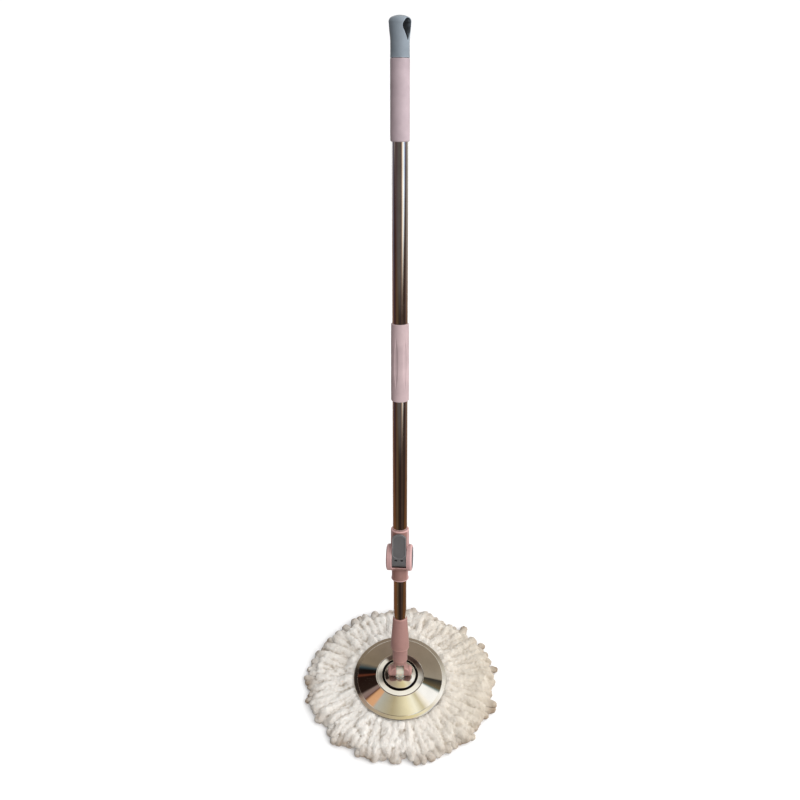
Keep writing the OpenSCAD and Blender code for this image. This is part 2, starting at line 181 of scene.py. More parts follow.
def grain(tree, place, scale, detail=3.0, roughness=0.5):
    """Soft noise between 0 and 1."""
    node = add_node(tree, "ShaderNodeTexNoise",
                    {"Vector": place, "Scale": scale, "Detail": detail, "Roughness": roughness})
    return node.outputs["Fac"]


def stretched(tree, turn=(0, 0, 0), scale=(1, 1, 1)):
    """Object coordinates, turned and stretched."""
    place = add_node(tree, "ShaderNodeTexCoord").outputs["Object"]
    node = add_node(tree, "ShaderNodeMapping", {"Vector": place, "Rotation": turn, "Scale": scale})
    return node.outputs["Vector"]


def bumped(tree, height, depth, strength=1.0, normal=None):
    """Normal of a surface raised by height times depth, over another normal."""
    node = add_node(tree, "ShaderNodeBump", {"Height": height, "Distance": depth, "Strength": strength})
    if normal is not None:
        tree.links.new(normal, node.inputs["Normal"])
    return node.outputs["Normal"]


def new_material(name, **sockets):
    """A Principled material; returns it with its tree and its shader node."""
    material = bpy.data.materials.new(name)
    material.use_nodes = True
    tree = material.node_tree
    shader = tree.nodes["Principled BSDF"]
    for socket, value in sockets.items():
        shader.inputs[socket.replace("_", " ")].default_value = value
    return material, tree, shader


# ---- materials ----

LEAN = math.atan2(POLE.y, POLE.z)
ALONG_POLE = (LEAN, 0, 0)
# painted shade on the plate: a dark ring in the groove and a thin one outside the ridge; inner and outer
# radius in mm, strength
PAINTED_SHADE_RINGS = [(26.8, 30.6, 0.97), (39.3, 39.9, 0.8)]


def ring_shade(tree):
    """How much painted shade lies at a place: rings about Z with slightly uneven edges."""
    place = add_node(tree, "ShaderNodeTexCoord").outputs["Object"]
    flat = add_node(tree, "ShaderNodeVectorMath", {0: place, 1: (1, 1, 0)}, operation="MULTIPLY").outputs[0]
    radius = add_node(tree, "ShaderNodeVectorMath", {0: flat}, operation="LENGTH").outputs["Value"]
    wobble = maths(tree, "MULTIPLY", maths(tree, "SUBTRACT", grain(tree, place, 90, 2), 0.5), 0.5 * MM)
    radius = maths(tree, "ADD", radius, wobble)
    amount = None
    for inner, outer, strength in PAINTED_SHADE_RINGS:
        soft = 0.25 * MM
        rise = smooth_step(tree, radius, inner * MM - soft, inner * MM + soft)
        fall = smooth_step(tree, radius, outer * MM + soft, outer * MM - soft)
        ring = maths(tree, "MULTIPLY", maths(tree, "MULTIPLY", rise, fall), strength)
        amount = ring if amount is None else maths(tree, "ADD", amount, ring)
    return amount


def chrome(name, tint, turn, stretch, rough=(0.06, 0.13), wave=0.0, ringed=False):
    """Polished metal with faint drawing marks along one direction and soft smears."""
    material, tree, shader = new_material(name, Metallic=1.0)
    marks = grain(tree, stretched(tree, turn, stretch), 60, 4)
    smears = grain(tree, stretched(tree, turn), 22, 3)
    darker = [c * 0.86 for c in srgb(tint)[:3]] + [1]
    colour = ramp(tree, smears, [(0.35, darker), (0.65, srgb(tint))])
    speckle = grain(tree, stretched(tree), 900, 2)
    colour = blend_colours(tree, grey_ramp(tree, speckle, 0.62, 0.75, 0, 0.25), colour, darker)
    gloss = maths(tree, "ADD", maths(tree, "MULTIPLY", marks, 0.5), maths(tree, "MULTIPLY", smears, 0.5))
    gloss = grey_ramp(tree, gloss, 0.35, 0.7, *rough)
    if ringed:
        # painted shade: dark rings in the plate's groove and outside its ridge
        dark = ring_shade(tree)
        colour = blend_colours(tree, dark, colour, srgb("0c0908"))
        gloss = maths(tree, "ADD", gloss, maths(tree, "MULTIPLY", dark, 0.2))
    tree.links.new(colour, shader.inputs["Base Color"])
    tree.links.new(gloss, shader.inputs["Roughness"])
    normal = bumped(tree, marks, 0.00001, 0.35)
    if wave:
        normal = bumped(tree, grain(tree, stretched(tree), 14, 1), wave, 1.0, normal)
    tree.links.new(normal, shader.inputs["Normal"])
    return material


def brushed(name, tint, rough=0.3):
    """Plain worked metal: turned or rolled, with small nicks."""
    material, tree, shader = new_material(name, Metallic=1.0)
    place = stretched(tree)
    lines = grain(tree, stretched(tree, scale=(1, 1, 14)), 260, 3)
    nicks = add_node(tree, "ShaderNodeTexVoronoi", {"Vector": place, "Scale": 420.0}).outputs["Distance"]
    darker = [c * 0.7 for c in srgb(tint)[:3]] + [1]
    tree.links.new(ramp(tree, lines, [(0.3, darker), (0.7, srgb(tint))]), shader.inputs["Base Color"])
    tree.links.new(grey_ramp(tree, lines, 0.3, 0.7, rough - 0.08, rough + 0.12), shader.inputs["Roughness"])
    tree.links.new(bumped(tree, nicks, 0.00002, 0.3, bumped(tree, lines, 0.00003, 0.4)),
                   shader.inputs["Normal"])
    return material


# the core of a moulded piece, on the pole's middle plane, may be coloured darker than its cheeks: painted
# shade where the cheeks keep the light off it
CORE_HALF = 10 * MM
CHEEK_START = 12.5 * MM
# painted shade in sheltered places such as holes, slots and gaps: how dark it is against the base colour, and
# how much of it
PAINTED_SHADE_LEVEL = 0.12
PAINTED_SHADE_AMOUNT = 0.9


def plastic(name, tint, rough=0.42, edge_highlight=1.35, mottle=0.07, spark=0.00006, shaded_core=None, **sockets):
    """Moulded plastic: eroded grain, mottling, scuffs, painted highlights on standing edges, painted shade in
    sheltered places and, with a shaded core, on the middle plane.
    """
    material, tree, shader = new_material(name, **sockets)
    base = srgb(tint)
    darker = [c * (1 - mottle * 2) for c in base[:3]] + [1]
    lighter = [min(1, c * (1 + mottle)) for c in base[:3]] + [1]
    highlighted = [min(1, c * edge_highlight) for c in base[:3]] + [1]
    place = stretched(tree)
    clouds = grain(tree, place, 30, 4, 0.6)
    colour = ramp(tree, clouds, [(0.32, darker), (0.68, lighter)])
    # painted shade: a darker core between the cheeks
    if shaded_core:
        aside = maths(tree, "ABSOLUTE", dot(tree, place, (1, 0, 0)))
        shaded_core_lighter = [min(1, c * 1.1) for c in srgb(shaded_core)[:3]] + [1]
        inner = ramp(tree, clouds, [(0.3, srgb(shaded_core)), (0.7, shaded_core_lighter)])
        colour = blend_colours(tree, smooth_step(tree, aside, CORE_HALF, CHEEK_START), inner, colour)
    pores = grain(tree, place, 1500, 2)
    colour = blend_colours(tree, grey_ramp(tree, pores, 0.55, 0.75, 0, 0.18), colour, darker)
    # painted highlight: lighter colour on edges that stand out
    edge = add_node(tree, "ShaderNodeAttribute", attribute_name="edge").outputs["Fac"]
    patchy = maths(tree, "MULTIPLY", edge, grey_ramp(tree, clouds, 0.3, 0.6, 0.5, 1.0))
    colour = blend_colours(tree, patchy, colour, highlighted)
    # painted shade: darker where the piece is closed in
    shelter = add_node(tree, "ShaderNodeAttribute", attribute_name="shelter").outputs["Fac"]
    painted_shade = maths(tree, "MULTIPLY", smooth_step(tree, shelter, 0.2, 0.6), PAINTED_SHADE_AMOUNT)
    shaded_colour = [c * PAINTED_SHADE_LEVEL for c in base[:3]] + [1]
    tree.links.new(blend_colours(tree, painted_shade, colour, shaded_colour), shader.inputs["Base Color"])
    scuffs = grain(tree, stretched(tree, scale=(1, 1, 0.2)), 260, 4)
    tree.links.new(grey_ramp(tree, scuffs, 0.3, 0.7, rough - 0.06, rough + 0.14), shader.inputs["Roughness"])
    tree.links.new(bumped(tree, grain(tree, place, 1100, 2), spark, 0.6), shader.inputs["Normal"])
    return material


# colours of the pile from between the loops to their crests: painted shade between the loops, lighter on the
# crests
PILE_PAINTED_SHADE = [(0.0, "83766a"), (0.28, "bdb5ab"), (0.55, "d8d4cf"), (1.0, "e0deda")]
STAIN = "cdc4b8"
SHADED_RIGHT_SIDE = "c9bfae"
SOIL_AND_SHADE = "86735f"
FIBRE_SHADE = "aaa196"


def microfibre(name):
    """Pile of looped yarn: ivory crests with painted warm shade between the loops, painted shade on the right
    side, soil and painted shade at the tips and near the floor, fine fibres over all.
    """
    material, tree, shader = new_material(name, Roughness=0.95)
    shader.inputs["Subsurface Weight"].default_value = 0.45
    shader.inputs["Subsurface Radius"].default_value = (1.0, 0.92, 0.85)
    shader.inputs["Subsurface Scale"].default_value = 0.006
    shader.inputs["Sheen Weight"].default_value = 0.12
    shader.inputs["Sheen Roughness"].default_value = 0.5
    shader.inputs["Specular IOR Level"].default_value = 0.1
    place = stretched(tree)
    crest = add_node(tree, "ShaderNodeAttribute", attribute_name="crest").outputs["Fac"]
    soil_and_shade = add_node(tree, "ShaderNodeAttribute", attribute_name="soil_and_shade").outputs["Fac"]
    colour = ramp(tree, crest, [(level, srgb(shade)) for level, shade in PILE_PAINTED_SHADE])
    stain = smooth_step(tree, grain(tree, place, 9, 3), 0.5, 0.72)
    colour = blend_colours(tree, maths(tree, "MULTIPLY", stain, 0.3), colour, srgb(STAIN))
    # painted shade: the pile turns darker and warmer towards the right, away from the light
    to_right = smooth_step(tree, dot(tree, place, (1, 0, 0)), -20 * MM, 160 * MM)
    colour = blend_colours(tree, maths(tree, "MULTIPLY", to_right, 0.7), colour, srgb(SHADED_RIGHT_SIDE))
    # soil and painted shade: brown at the tips and near the floor
    patchy = maths(tree, "MULTIPLY", soil_and_shade, grey_ramp(tree, grain(tree, place, 60, 3), 0.3, 0.7, 0.3, 1.0))
    colour = blend_colours(tree, patchy, colour, srgb(SOIL_AND_SHADE))
    fibres = grain(tree, place, 1100, 3, 0.7)
    colour = blend_colours(tree, grey_ramp(tree, fibres, 0.5, 0.72, 0, 0.25), colour, srgb(FIBRE_SHADE))
    tree.links.new(colour, shader.inputs["Base Color"])
    loops = add_node(tree, "ShaderNodeTexVoronoi", {"Vector": place, "Scale": 520.0}).outputs["Distance"]
    normal = bumped(tree, loops, 0.0009, 0.6)
    tree.links.new(bumped(tree, fibres, 0.0005, 0.6, normal), shader.inputs["Normal"])
    return material


def make_materials():
    """Every material of the mop under a short name."""
    return {
        "tube": chrome("tube_chrome", "f0eeec", ALONG_POLE, (1, 1, 0.02), (0.06, 0.12)),
        "plate": chrome("plate_chrome", "e2dfd8", (0, 0, 0), (1, 1, 1), (0.02, 0.06), 0.00008, True),
        "hardware": brushed("plain_steel", "c0bfbd"),
        "strip": brushed("strip_steel", "8f8f92", 0.38),
        "brass": brushed("nut_brass", "d8b35c", 0.28),
        # the four pinks are one pink plastic as lit and shaded copies: lighter and cooler up the pole, darker
        # and warmer lower down, as the light falls
        "pink_top": plastic("pink_top_grip", "b3a2a9", 0.5, 1.2),
        "pink_mid": plastic("pink_middle_grip", "bba5a8", 0.48),
        "pink_lock": plastic("pink_lock", "b59190", 0.45, 1.35, shaded_core="8a665f"),
        "pink_cone": plastic("pink_socket", "9a746e", 0.45, 1.5),
        "cap_grey": plastic("cap_grey", "828d98", 0.5, 1.25),
        "cover_grey": plastic("cover_grey", "5d5c62", 0.5),
        "lever_grey": plastic("lever_grey", "5a595b", 0.5, 2.4),
        "dark": plastic("dark_plastic", "2c2b2a", 0.5),
        "nylon": plastic("natural_nylon", "dccdbc", 0.5, 1.05, 0.03, Subsurface_Weight=0.25),
        "pile": microfibre("microfibre_pile"),
    }


# ---- mesh helpers ----


def arc(centre, radius, start, end, steps):
    """Points of an arc in a (radius, height) profile, with angles in degrees."""
    angles = [math.radians(start + (end - start) * i / steps) for i in range(steps + 1)]
    return [(centre[0] + radius * math.cos(a), centre[1] + radius * math.sin(a)) for a in angles]


def new_piece(name, vertices, faces, material, body, nodes):
    """Makes a smooth mesh piece that rides on a body and stands for CAD nodes."""
    mesh = bpy.data.meshes.new(name)
    mesh.from_pydata([tuple(v) for v in vertices], [], faces)
    mesh.update()
    piece = bpy.data.objects.new(name, mesh)
    bpy.context.scene.collection.objects.link(piece)
    dress(piece, material, body, nodes)


def dress(piece, material, body, nodes):
    """Gives a piece its material and body, and hides the CAD nodes that it stands for."""
    mesh = piece.data
    mesh.materials.clear()
    mesh.materials.append(material)
    mesh.shade_smooth()
    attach(piece, body)
    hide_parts(*nodes)


def mesh_arrays(mesh):
    """Places and normals of the vertices, and the vertex pairs of the edges."""
    count = len(mesh.vertices)
    points, normals = np.empty(count * 3), np.empty(count * 3)
    mesh.vertices.foreach_get("co", points)
    mesh.vertices.foreach_get("normal", normals)
    edges = np.empty(len(mesh.edges) * 2, np.int32)
    mesh.edges.foreach_get("vertices", edges)
    return points.reshape(-1, 3), normals.reshape(-1, 3), edges.reshape(-1, 2)


def neighbour_mean(values, edges):
    """Mean of each point's neighbours along the mesh's edges."""
    count = len(values)
    total = np.stack([np.bincount(edges[:, 0], values[edges[:, 1], k], count)
                      + np.bincount(edges[:, 1], values[edges[:, 0], k], count) for k in range(3)], 1)
    return total / np.maximum(np.bincount(edges.ravel(), minlength=count), 1)[:, None]


def add_values(mesh, name, values):
    """Stores one number from 0 to 1 for each vertex."""
    attribute = mesh.attributes.new(name, "FLOAT", "POINT")
    attribute.data.foreach_set("value", np.clip(values, 0, 1).astype(np.float32))


FEELERS = 10
# radians from one feeler to the next, so that they spread evenly like seeds
GOLDEN_TURN = 2.4
FEELER_REACH = 22 * MM
EDGE_PASSES = 6
EDGE_STAND = 0.09 * MM
EDGE_START = 0.25


def note_relief(mesh):
    """Notes on a mesh how sharply each place stands out (edge) and how closed in it is (shelter)."""
    points, normals, edges = mesh_arrays(mesh)
    smooth = points
    for _ in range(EDGE_PASSES):
        smooth = neighbour_mean(smooth, edges)
    add_values(mesh, "edge", ((points - smooth) * normals).sum(1) / EDGE_STAND - EDGE_START)
    sides = [tuple(polygon.vertices) for polygon in mesh.polygons]
    tree = bvhtree.BVHTree.FromPolygons([vertex.co for vertex in mesh.vertices], sides)
    feelers = []
    for k in range(FEELERS):
        spread = (k + 0.5) / FEELERS
        run, turn = math.sqrt(spread), GOLDEN_TURN * k
        feelers.append(Vector((run * math.cos(turn), run * math.sin(turn), math.sqrt(1 - spread))))
    shelter = np.zeros(len(points))
    for i, vertex in enumerate(mesh.vertices):
        normal = vertex.normal
        turned = normal.to_track_quat("Z", "Y")
        start = vertex.co + normal * 0.1 * MM
        hits = [tree.ray_cast(start, turned @ feeler, FEELER_REACH)[0] for feeler in feelers]
        shelter[i] = sum(hit is not None for hit in hits) / FEELERS
    add_values(mesh, "shelter", shelter)


def lathe(profile, segments, place, shape=None):
    """Turns a closed (radius, height) loop about Z. shape(radius, height, angle) may change a radius."""
    angles = np.linspace(0, 2 * math.pi, segments, endpoint=False)
    vertices = []
    for radius, height in profile:
        for angle in angles:
            r = shape(radius, height, angle) if shape else radius
            vertices.append(place @ Vector((r * math.cos(angle), r * math.sin(angle), height)))
    rows = len(profile)
    faces = []
    for row in range(rows):
        above = (row + 1) % rows
        for i in range(segments):
            j = (i + 1) % segments
            faces.append((row * segments + i, row * segments + j, above * segments + j, above * segments + i))
    return vertices, faces


CORNER_GUARD = 0.12 * MM


def divided(profile, step):
    """The same line with points at most a step apart, and a close pair at the corners of long parts."""
    points = []
    for (r0, z0), (r1, z1) in zip(profile, profile[1:]):
        length = math.hypot(r1 - r0, z1 - z0)
        pieces = max(1, math.ceil(length / step))
        shares = [i / pieces for i in range(pieces)]
        if length > 5 * CORNER_GUARD:
            shares += [CORNER_GUARD / length, 1 - CORNER_GUARD / length]
        points += [(r0 + (r1 - r0) * share, z0 + (z1 - z0) * share) for share in sorted(shares)]
    return points + [profile[-1]]


def remeshed(name, mesh, voxel, passes):
    """An object whose mesh is the given one fused into a single skin, with its edges softened."""
    rough = bpy.data.objects.new(name + "_rough", mesh)
    bpy.context.scene.collection.objects.link(rough)
    remesh = rough.modifiers.new("remesh", "REMESH")
    remesh.mode = "VOXEL"
    remesh.voxel_size = voxel
    smooth = rough.modifiers.new("smooth", "SMOOTH")
    smooth.factor = 0.5
    smooth.iterations = passes
    graph = bpy.context.evaluated_depsgraph_get()
    final = bpy.data.meshes.new_from_object(rough.evaluated_get(graph))
    bpy.data.objects.remove(rough)
    piece = bpy.data.objects.new(name, final)
    bpy.context.scene.collection.objects.link(piece)
    return piece


def moulded(name, nodes, voxel, passes, material, body):
    """A copy of CAD nodes with the edges rounded as moulding leaves them."""
    work = bmesh.new()
    for node in nodes:
        work.from_mesh(frame["nodes"][node].data)
    bmesh.ops.remove_doubles(work, verts=work.verts, dist=1e-6)
    mesh = bpy.data.meshes.new(name)
    work.to_mesh(mesh)
    work.free()
    piece = remeshed(name, mesh, voxel, passes)
    note_relief(piece.data)
    dress(piece, material, body, nodes)


# ---- steel plate ----


def build_plate(materials):
    """The pressed steel as one thin sheet: boss, groove, ridge, crest, cone, step, flange, rolled edge."""
    low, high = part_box("steel_plate")
    sheet = 0.8 * MM
    edge_r, edge_h, boss_h = high.x, low.z, high.z
    crest_h = boss_h - 2.8 * MM
    ridge_h = crest_h + 0.8 * MM
    groove_h = crest_h - 1.9 * MM
    flange_h = edge_h + 3.4 * MM
    hole_r, hub_r, step_r = 7 * MM, 11.6 * MM, 73.2 * MM
    # bend radii of the outer face
    boss_bend = crest_bend = 1.2 * MM
    groove_bend = edge_bend = 1.4 * MM
    ridge_bend = 0.6 * MM
    # centres of the bends
    boss = (25.8 * MM, boss_h - 2.7 * MM)
    groove = (29 * MM, groove_h + groove_bend)
    ridge = (31.3 * MM, ridge_h - ridge_bend)
    crest = (41 * MM, crest_h - crest_bend)
    edge = (edge_r - edge_bend, flange_h - 0.9 * MM)
    step_top, step_foot = flange_h + 1.05 * MM, flange_h + 0.75 * MM
    outside = ([(hole_r, boss_h), (hub_r, boss_h)]
               + arc(boss, boss_bend, 84, 15, 10)
               + arc(groove, groove_bend, 190, 350, 18)
               + arc(ridge, ridge_bend, 170, 83, 8)
               + [(39.3 * MM, ridge_h - 1.05 * MM), (39.9 * MM, ridge_h - 1.4 * MM)]
               + arc(crest, crest_bend, 130, 79, 10)
               + [(step_r - 0.5 * MM, step_top), (step_r, step_foot)]
               + arc(edge, edge_bend, 84, 0, 12)
               + [(edge_r, edge_h)])
    inside = ([(edge_r - sheet, edge_h)]
              + arc(edge, edge_bend - sheet, 0, 84, 6)
              + [(step_r, step_foot - sheet), (step_r - 0.5 * MM, step_top - sheet)]
              + arc(crest, crest_bend - sheet, 79, 112, 6)
              + [(39.6 * MM, ridge_h - 2.2 * MM), (31.5 * MM, ridge_h - 0.9 * MM)]
              + arc(groove, groove_bend + sheet, 350, 190, 16)
              + arc(boss, boss_bend - sheet / 2, 15, 84, 6)
              + [(hub_r, boss_h - sheet), (hole_r, boss_h - sheet)])
    profile = divided(outside, 1.5 * MM) + divided(inside, 6 * MM)
    vertices, faces = lathe(profile, 256, Matrix.Identity(4))
    new_piece("plate_steel_sheet", vertices, faces, materials["plate"],
              "plate", ["steel_plate"])


# ---- tubes and grips ----


def build_tube(name, node, material, body):
    """Thin rolled tube with its ends turned in a little."""
    low, high = stations(node)
    bore, outer = girth(node)
    soft = 0.3 * MM
    profile = (arc((outer - soft, low + soft), soft, -90, 0, 4)
               + arc((outer - soft, high - soft), soft, 0, 90, 4)
               + [(bore, high), (bore, low)])
    vertices, faces = lathe(profile, 128, pole_frame())
    new_piece(name, vertices, faces, material, body, [node])


FLUTES = 6
FIRST_FLUTE = math.radians(-116.5)
FLUTE_DEPTH = 1.0 * MM
FLUTE_HALF_LENGTH = 42 * MM
FLUTE_HALF_WIDTH = 3.6 * MM


def build_mid_grip(materials):
    """Grip sleeve with a rounded rim at both ends and pointed flutes round it."""
    low, high = stations("mid_grip")
    bore, outer = girth("mid_grip")
    middle = (low + high) / 2
    profile = divided(arc((outer - 1.7 * MM, low + 1.4 * MM), 1.4 * MM, -90, 0, 8)
                      + [(outer, middle)]
                      + arc((outer - 1.9 * MM, high - 1.3 * MM), 1.3 * MM, 0, 90, 8), 1 * MM)
    profile += [(bore, high), (bore, low)]

    def fluted(radius, height, angle):
        """Radius of the sleeve with its flutes pressed in."""
        along = (height - middle) / FLUTE_HALF_LENGTH
        if radius < outer - 2.5 * MM or abs(along) >= 1:
            return radius
        pitch = 2 * math.pi / FLUTES
        off = (angle - FIRST_FLUTE + pitch / 2) % pitch - pitch / 2
        half = FLUTE_HALF_WIDTH * (1 - along * along)
        across = abs(off) * outer / max(half, 1e-5)
        return radius - FLUTE_DEPTH * max(0.0, 1 - across ** 2) * min(1.0, 3 * (1 - abs(along)))

    vertices, faces = lathe(profile, 288, pole_frame(), fluted)
    new_piece("middle_grip_sleeve", vertices, faces, materials["pink_mid"],
              "pole", ["mid_grip"])


def build_top_grip(materials):
    """Plain sleeve, a little fuller at its lower end, with a rolled lower lip."""
    low, high = stations("top_grip")
    bore, outer = girth("top_grip")
    profile = (arc((outer - 2.2 * MM, low + 2.0 * MM), 2.0 * MM, -90, 0, 10)
               + [(outer, low + 12 * MM), (outer - 0.15 * MM, low + 40 * MM)]
               + [(outer - 0.25 * MM, high - 0.5 * MM)]
               + arc((outer - 0.65 * MM, high - 0.4 * MM), 0.4 * MM, 0, 90, 4))
    profile = divided(profile, 1.5 * MM) + [(bore, high), (bore, low)]
    vertices, faces = lathe(profile, 160, pole_frame())
    new_piece("top_grip_sleeve", vertices, faces, materials["pink_top"],
              "pole", ["top_grip"])


def build_moulded_parts(materials):
    """The moulded pieces: name, CAD nodes, voxel in mm, softening passes, material, body, slot."""
    parts = [
        ("hanging_cap", ["hang_cap"], 0.5, 4, "cap_grey", "pole", "grey_plastic"),
        ("lock_shell", ["lock_housing"], 0.54, 3, "pink_lock", "pole", "pink_plastic"),
        ("cheek_covers", ["pivot_caps"], 0.4, 3, "cover_grey", "pole", "grey_plastic"),
        ("thumb_lever", ["lock_lever"], 0.28, 2, "lever_grey", "lever", "grey_plastic"),
        ("cone_socket", ["fork_socket"], 0.5, 7, "pink_cone", "shaft", "pink_plastic"),
        ("nylon_link", ["swivel_link"], 0.35, 4, "nylon", "swivel", "nylon"),
    ]
    for name, nodes, voxel, passes, material, body, slot in parts:
        moulded(name, nodes, voxel * MM, passes, materials[material], body)


def dress_cad_nodes(materials):
    """Better materials on the CAD nodes that stay."""
    finish = {"plate_steel": "plate", "tube_steel": "tube", "hardware": "hardware", "strip_steel": "strip",
              "nut_brass": "brass", "pink_plastic": "pink_lock", "grey_plastic": "cap_grey",
              "dark_plastic": "dark", "nylon": "nylon"}
    for node in frame["nodes"].values():
        if node.hide_render:
            continue
        for slot in node.material_slots:
            slot.material = materials[finish[slot.material.name.split(".")[0]]]


# ---- fringe ----

LINKS = 12
RING_R = 76 * MM
SETTLE_STEPS = 90
# how far the strands drop and may be pushed in one step, and how often the near pairs are looked up
DROP = 0.35 * MM
LARGEST_PUSH = 1.2 * MM
PAIR_STEPS = 15
# rows of strands from the bottom up; root height and half thicknesses (at the root, near the tip) in mm
ROWS = [
    {"piece": "fringe_lower", "strands": 56, "root": 5.6, "reach": (0.95, 1.06), "half": (4.6, 6.6)},
    {"piece": "fringe_upper", "strands": 70, "root": 11.0, "reach": (0.95, 1.05), "half": (6.0, 7.2)},
    {"piece": "fringe_upper", "strands": 76, "root": 16.2, "reach": (0.90, 1.01), "half": (6.6, 7.2)},
]
# how neighbouring strands lean together into bunches: bunches round the head, lean, phase in radians
BUNCHING = [(19, 0.026, 1.3), (12, 0.03, 4.0), (5, 0.02, 2.2)]
# places where the fringe falls short: degrees from +X towards the back, half width in degrees, share lost;
# chosen after the photo's outline was measured every 10 degrees
DENTS = [
    (62, 7, 0.05), (100, 6, 0.03), (146, 9, 0.04), (182, 6, 0.05), (212, 8, 0.05),
    (233, 6, 0.05), (262, 7, 0.03), (300, 12, 0.03), (335, 6, 0.03),
]
# the front is combed back a little and the right side spreads more than the left
FRONT_SHORT = 0.035
RIGHT_LONG = 0.015


def outline(angle, box_high):
    """Radius that the strands' tips reach: the oval of the CAD fringe with a few uneven places."""
    rx, ry = box_high.x, box_high.y
    oval = rx * ry / np.hypot(ry * np.cos(angle), rx * np.sin(angle))
    share = 1 + RIGHT_LONG * np.cos(angle) - FRONT_SHORT * np.clip(-np.sin(angle), 0, 1) ** 2
    for middle, half, loss in DENTS:
        off = (np.degrees(angle) - middle + 180) % 360 - 180
        share = share - loss * np.exp(-(off / half) ** 2)
    return oval * share


def ceiling(share, height):
    """Height of the top of the pile at a share of the way from the ring to the outline."""
    return height * np.interp(share, [0, 0.15, 0.45, 0.7, 0.88, 1.0], [0.88, 0.98, 0.96, 0.86, 0.68, 0.5])


def first_lay(rng, high):
    """Every strand laid straight out from the ring: places of its points and its half thicknesses."""
    share = np.linspace(0, 1, LINKS)
    places, halves = [], []
    for row in ROWS:
        turn_offset = rng.uniform(0, 1)
        for i in range(row["strands"]):
            angle = (i + turn_offset) * 2 * math.pi / row["strands"]
            bunched = sum(size * math.sin(n * angle + phase) for n, size, phase in BUNCHING)
            lean = rng.normal(0, 0.025) + bunched
            curl = rng.normal(0, 0.014)
            turn = angle + lean * share ** 1.4 + curl * np.sin(share * math.pi)
            radius = RING_R + (outline(turn, high) * rng.uniform(*row["reach"]) - RING_R) * share
            height = row["root"] * MM + 6 * MM * np.sin(share * math.pi * 0.5) - 5 * MM * share ** 2
            places.append(np.stack([radius * np.cos(turn), radius * np.sin(turn), height], 1))
            root, tip = row["half"]
            swell = np.interp(share, [0, 0.1, 0.8, 1], [root * 0.85, root, tip, tip * 0.85])
            halves.append(swell * MM * rng.uniform(0.9, 1.1))
    return np.array(places), np.array(halves)


def near_pairs(place, half):
    """Pairs of points on different strands that are close enough to meet within a few steps."""
    flat = place.reshape(-1, 3)
    size = half.reshape(-1)
    strand = np.repeat(np.arange(len(place)), LINKS)
    first, second = np.triu_indices(len(flat), LINKS)
    room = size[first] + size[second] + 4 * MM
    close = (np.abs(flat[first] - flat[second]) < room[:, None]).all(1) & (strand[first] != strand[second])
    return first[close], second[close]


def settle(place, half, low, high):
    """Lets the strands fall, push each other apart and keep their lengths."""
    rest = np.linalg.norm(np.diff(place, axis=1), axis=2)
    start = place[:, :2].copy()
    size = half.reshape(-1)
    for step in range(SETTLE_STEPS):
        if step % PAIR_STEPS == 0:
            first, second = near_pairs(place, half)
            wanted = (size[first] + size[second]) * 0.8
        place[:, 2:, 2] -= DROP
        flat = place.reshape(-1, 3)
        gap = flat[first] - flat[second]
        gap[:, 2] *= 1.25
        distance = np.linalg.norm(gap, axis=1) + 1e-9
        push = gap * (np.clip(wanted - distance, 0, None) / distance * 0.16)[:, None]
        count = len(flat)
        moved = np.stack([np.bincount(first, push[:, k], count) - np.bincount(second, push[:, k], count)
                          for k in range(3)], 1)
        length = np.linalg.norm(moved, axis=1, keepdims=True)
        moved *= np.minimum(1, LARGEST_PUSH / np.maximum(length, 1e-9))
        place = (flat + moved).reshape(place.shape)
        for _ in range(3):
            link = np.diff(place, axis=1)
            span = np.linalg.norm(link, axis=2)
            fix = link * ((span - rest) / span)[..., None] * 0.5
            place[:, :-1] += fix
            place[:, 1:] -= fix
            place[:, :2] = start
        radius = np.hypot(place[..., 0], place[..., 1])
        edge = outline(np.arctan2(place[..., 1], place[..., 0]), high)
        place[..., :2] *= np.minimum(1, edge * 1.065 / radius)[..., None]
        share = np.clip((radius - RING_R) / (edge - RING_R), 0, 1)
        top = ceiling(share, high.z) - half * 0.95
        floor = low.z + half * 0.8
        place[..., 2] = np.clip(place[..., 2], floor, np.maximum(floor, top))
    return place


def along_curve(points, count):
    """Smooth line through the points, as evenly counted samples."""
    ends = np.vstack([2 * points[0] - points[1], points, 2 * points[-1] - points[-2]])
    samples = []
    for t in np.linspace(0, len(points) - 1, count):
        i = min(int(t), len(points) - 2)
        f = t - i
        a, b, c, d = ends[i:i + 4]
        samples.append(0.5 * (2 * b + (c - a) * f + (2 * a - 5 * b + 4 * c - d) * f * f
                              + (3 * b - a - 3 * c + d) * f ** 3))
    return np.array(samples)


# rings along a strand, and points round each ring
RINGS = 34
ROUND = 12


